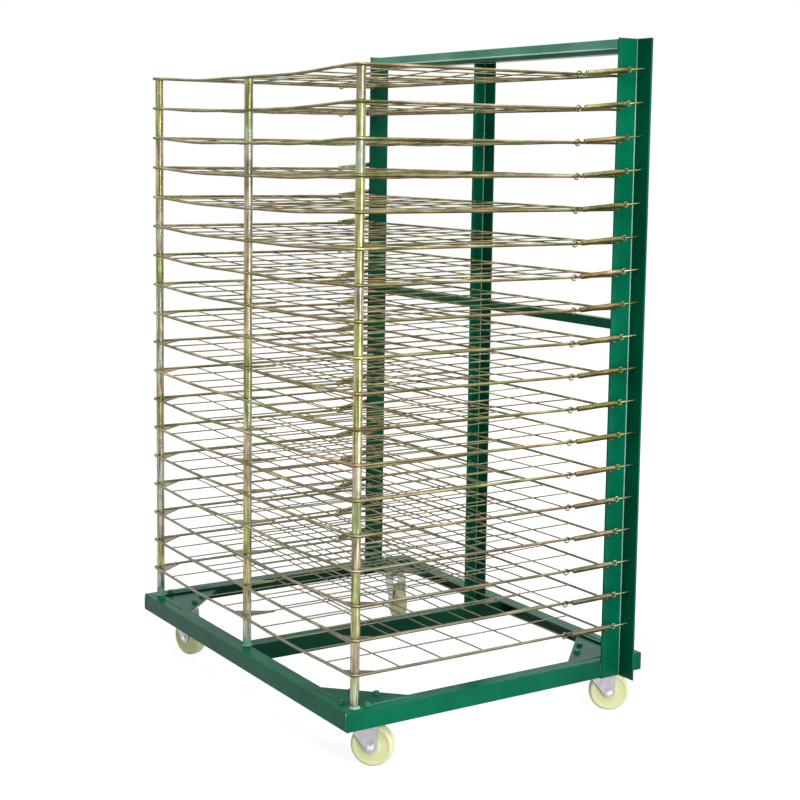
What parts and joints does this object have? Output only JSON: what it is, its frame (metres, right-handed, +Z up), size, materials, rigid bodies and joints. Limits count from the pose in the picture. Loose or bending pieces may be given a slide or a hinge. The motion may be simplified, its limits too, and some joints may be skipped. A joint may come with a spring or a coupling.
{
  "type": "art drying rack",
  "caption": "Mobile art drying rack: a green angle-iron trolley on swivel casters with a stack of spring-assisted wire shelves hinged at the back.",
  "frame": {"origin": "on the floor under the middle of the base", "axes": "+Z up, -Y the open front of the shelves, +X the right side seen from the front"},
  "size_m": [0.9206, 0.651, 1.264],
  "materials": {
    "green_paint": "gloss",
    "yellow_zinc": "satin",
    "bright_steel": "satin",
    "cream_wheel": "matte"
  },
  "bodies": {
    "frame": {"front_rail": "green_paint", "rear_rail": "green_paint", "right_side_rail": "green_paint", "left_side_rail": "green_paint", "middle_rail": "green_paint", "right_upright": "green_paint", "left_upright": "green_paint", "middle_upright": "green_paint", "top_rail": "green_paint", "crossbar": "green_paint", "left_stub": "green_paint", "middle_stub": "green_paint", "right_stub": "green_paint", "front_left_corner_plate": "green_paint", "front_left_caster_plate": "bright_steel", "front_right_corner_plate": "green_paint", "front_right_caster_plate": "bright_steel", "rear_right_corner_plate": "green_paint", "rear_right_caster_plate": "bright_steel", "rear_left_corner_plate": "green_paint", "rear_left_caster_plate": "bright_steel"},
    "front_left_swivel": {"front_left_fork": "bright_steel", "front_left_axle": "bright_steel"},
    "front_left_roller": {"front_left_wheel": "cream_wheel"},
    "front_right_swivel": {"front_right_fork": "bright_steel", "front_right_axle": "bright_steel"},
    "front_right_roller": {"front_right_wheel": "cream_wheel"},
    "rear_right_swivel": {"rear_right_fork": "bright_steel", "rear_right_axle": "bright_steel"},
    "rear_right_roller": {"rear_right_wheel": "cream_wheel"},
    "rear_left_swivel": {"rear_left_fork": "bright_steel", "rear_left_axle": "bright_steel"},
    "rear_left_roller": {"rear_left_wheel": "cream_wheel"},
    "shelf_01": {"shelf_01": "yellow_zinc"},
    "shelf_02": {"shelf_02": "yellow_zinc"},
    "shelf_03": {"shelf_03": "yellow_zinc"},
    "shelf_04": {"shelf_04": "yellow_zinc"},
    "shelf_05": {"shelf_05": "yellow_zinc"},
    "shelf_06": {"shelf_06": "yellow_zinc"},
    "shelf_07": {"shelf_07": "yellow_zinc"},
    "shelf_08": {"shelf_08": "yellow_zinc"},
    "shelf_09": {"shelf_09": "yellow_zinc"},
    "shelf_10": {"shelf_10": "yellow_zinc"},
    "shelf_11": {"shelf_11": "yellow_zinc"},
    "shelf_12": {"shelf_12": "yellow_zinc"},
    "shelf_13": {"shelf_13": "yellow_zinc"},
    "shelf_14": {"shelf_14": "yellow_zinc"},
    "shelf_15": {"shelf_15": "yellow_zinc"},
    "shelf_16": {"shelf_16": "yellow_zinc"},
    "shelf_17": {"shelf_17": "yellow_zinc"},
    "shelf_18": {"shelf_18": "yellow_zinc"}
  },
  "joints": [
    {"name": "front_left_swivel_turn", "type": "hinge", "parent": "frame", "child": "front_left_swivel", "pos_m": [-0.35802, -0.2655, 0.1], "axis": [0, 0, 1], "continuous": true},
    {"name": "front_left_wheel_spin", "type": "hinge", "parent": "front_left_swivel", "child": "front_left_roller", "pos_m": [-0.33387, -0.25903, 0.038], "axis": [-0.2588, 0.9659, 0], "continuous": true},
    {"name": "front_right_swivel_turn", "type": "hinge", "parent": "frame", "child": "front_right_swivel", "pos_m": [0.35802, -0.2655, 0.1], "axis": [0, 0, 1], "continuous": true},
    {"name": "front_right_wheel_spin", "type": "hinge", "parent": "front_right_swivel", "child": "front_right_roller", "pos_m": [0.3757, -0.24782, 0.038], "axis": [-0.7071, 0.7071, 0], "continuous": true},
    {"name": "rear_right_swivel_turn", "type": "hinge", "parent": "frame", "child": "rear_right_swivel", "pos_m": [0.35802, 0.2655, 0.1], "axis": [0, 0, 1], "continuous": true},
    {"name": "rear_right_wheel_spin", "type": "hinge", "parent": "rear_right_swivel", "child": "rear_right_roller", "pos_m": [0.37236, 0.28598, 0.038], "axis": [-0.8192, 0.5736, 0], "continuous": true},
    {"name": "rear_left_swivel_turn", "type": "hinge", "parent": "frame", "child": "rear_left_swivel", "pos_m": [-0.35802, 0.2655, 0.1], "axis": [0, 0, 1], "continuous": true},
    {"name": "rear_left_wheel_spin", "type": "hinge", "parent": "rear_left_swivel", "child": "rear_left_roller", "pos_m": [-0.33387, 0.25903, 0.038], "axis": [0.2588, 0.9659, 0], "continuous": true},
    {"name": "lift_01", "type": "hinge", "parent": "frame", "child": "shelf_01", "pos_m": [0, 0.23, 0.177], "axis": [-1, 0, 0], "range_deg": [0, 45.83]},
    {"name": "lift_02", "type": "hinge", "parent": "frame", "child": "shelf_02", "pos_m": [0, 0.23, 0.237], "axis": [-1, 0, 0], "range_deg": [0, 46.9]},
    {"name": "lift_03", "type": "hinge", "parent": "frame", "child": "shelf_03", "pos_m": [0, 0.23, 0.297], "axis": [-1, 0, 0], "range_deg": [0, 48]},
    {"name": "lift_04", "type": "hinge", "parent": "frame", "child": "shelf_04", "pos_m": [0, 0.23, 0.357], "axis": [-1, 0, 0], "range_deg": [0, 49.13]},
    {"name": "lift_05", "type": "hinge", "parent": "frame", "child": "shelf_05", "pos_m": [0, 0.23, 0.417], "axis": [-1, 0, 0], "range_deg": [0, 50.29]},
    {"name": "lift_06", "type": "hinge", "parent": "frame", "child": "shelf_06", "pos_m": [0, 0.23, 0.477], "axis": [-1, 0, 0], "range_deg": [0, 51.47]},
    {"name": "lift_07", "type": "hinge", "parent": "frame", "child": "shelf_07", "pos_m": [0, 0.23, 0.537], "axis": [-1, 0, 0], "range_deg": [0, 52.68]},
    {"name": "lift_08", "type": "hinge", "parent": "frame", "child": "shelf_08", "pos_m": [0, 0.23, 0.597], "axis": [-1, 0, 0], "range_deg": [0, 53.91]},
    {"name": "lift_09", "type": "hinge", "parent": "frame", "child": "shelf_09", "pos_m": [0, 0.23, 0.657], "axis": [-1, 0, 0], "range_deg": [0, 55.18]},
    {"name": "lift_10", "type": "hinge", "parent": "frame", "child": "shelf_10", "pos_m": [0, 0.23, 0.717], "axis": [-1, 0, 0], "range_deg": [0, 56.48]},
    {"name": "lift_11", "type": "hinge", "parent": "frame", "child": "shelf_11", "pos_m": [0, 0.23, 0.777], "axis": [-1, 0, 0], "range_deg": [0, 57.81]},
    {"name": "lift_12", "type": "hinge", "parent": "frame", "child": "shelf_12", "pos_m": [0, 0.23, 0.837], "axis": [-1, 0, 0], "range_deg": [0, 59.16]},
    {"name": "lift_13", "type": "hinge", "parent": "frame", "child": "shelf_13", "pos_m": [0, 0.23, 0.897], "axis": [-1, 0, 0], "range_deg": [0, 60.55]},
    {"name": "lift_14", "type": "hinge", "parent": "frame", "child": "shelf_14", "pos_m": [0, 0.23, 0.957], "axis": [-1, 0, 0], "range_deg": [0, 61.98]},
    {"name": "lift_15", "type": "hinge", "parent": "frame", "child": "shelf_15", "pos_m": [0, 0.23, 1.017], "axis": [-1, 0, 0], "range_deg": [0, 63.43]},
    {"name": "lift_16", "type": "hinge", "parent": "frame", "child": "shelf_16", "pos_m": [0, 0.23, 1.077], "axis": [-1, 0, 0], "range_deg": [0, 64.92]},
    {"name": "lift_17", "type": "hinge", "parent": "frame", "child": "shelf_17", "pos_m": [0, 0.23, 1.137], "axis": [-1, 0, 0], "range_deg": [0, 66.45]},
    {"name": "lift_18", "type": "hinge", "parent": "frame", "child": "shelf_18", "pos_m": [0, 0.23, 1.197], "axis": [-1, 0, 0], "range_deg": [0, 68]}
  ],
  "couplings": [
    {"joint": "lift_01", "follows": "lift_18", "ratio": 0.67376},
    {"joint": "lift_02", "follows": "lift_18", "ratio": 0.6896},
    {"joint": "lift_03", "follows": "lift_18", "ratio": 0.7058},
    {"joint": "lift_04", "follows": "lift_18", "ratio": 0.72239},
    {"joint": "lift_05", "follows": "lift_18", "ratio": 0.73936},
    {"joint": "lift_06", "follows": "lift_18", "ratio": 0.75674},
    {"joint": "lift_07", "follows": "lift_18", "ratio": 0.77452},
    {"joint": "lift_08", "follows": "lift_18", "ratio": 0.79272},
    {"joint": "lift_09", "follows": "lift_18", "ratio": 0.81135},
    {"joint": "lift_10", "follows": "lift_18", "ratio": 0.83042},
    {"joint": "lift_11", "follows": "lift_18", "ratio": 0.84993},
    {"joint": "lift_12", "follows": "lift_18", "ratio": 0.86991},
    {"joint": "lift_13", "follows": "lift_18", "ratio": 0.89035},
    {"joint": "lift_14", "follows": "lift_18", "ratio": 0.91127},
    {"joint": "lift_15", "follows": "lift_18", "ratio": 0.93269},
    {"joint": "lift_16", "follows": "lift_18", "ratio": 0.95461},
    {"joint": "lift_17", "follows": "lift_18", "ratio": 0.97704}
  ]
}
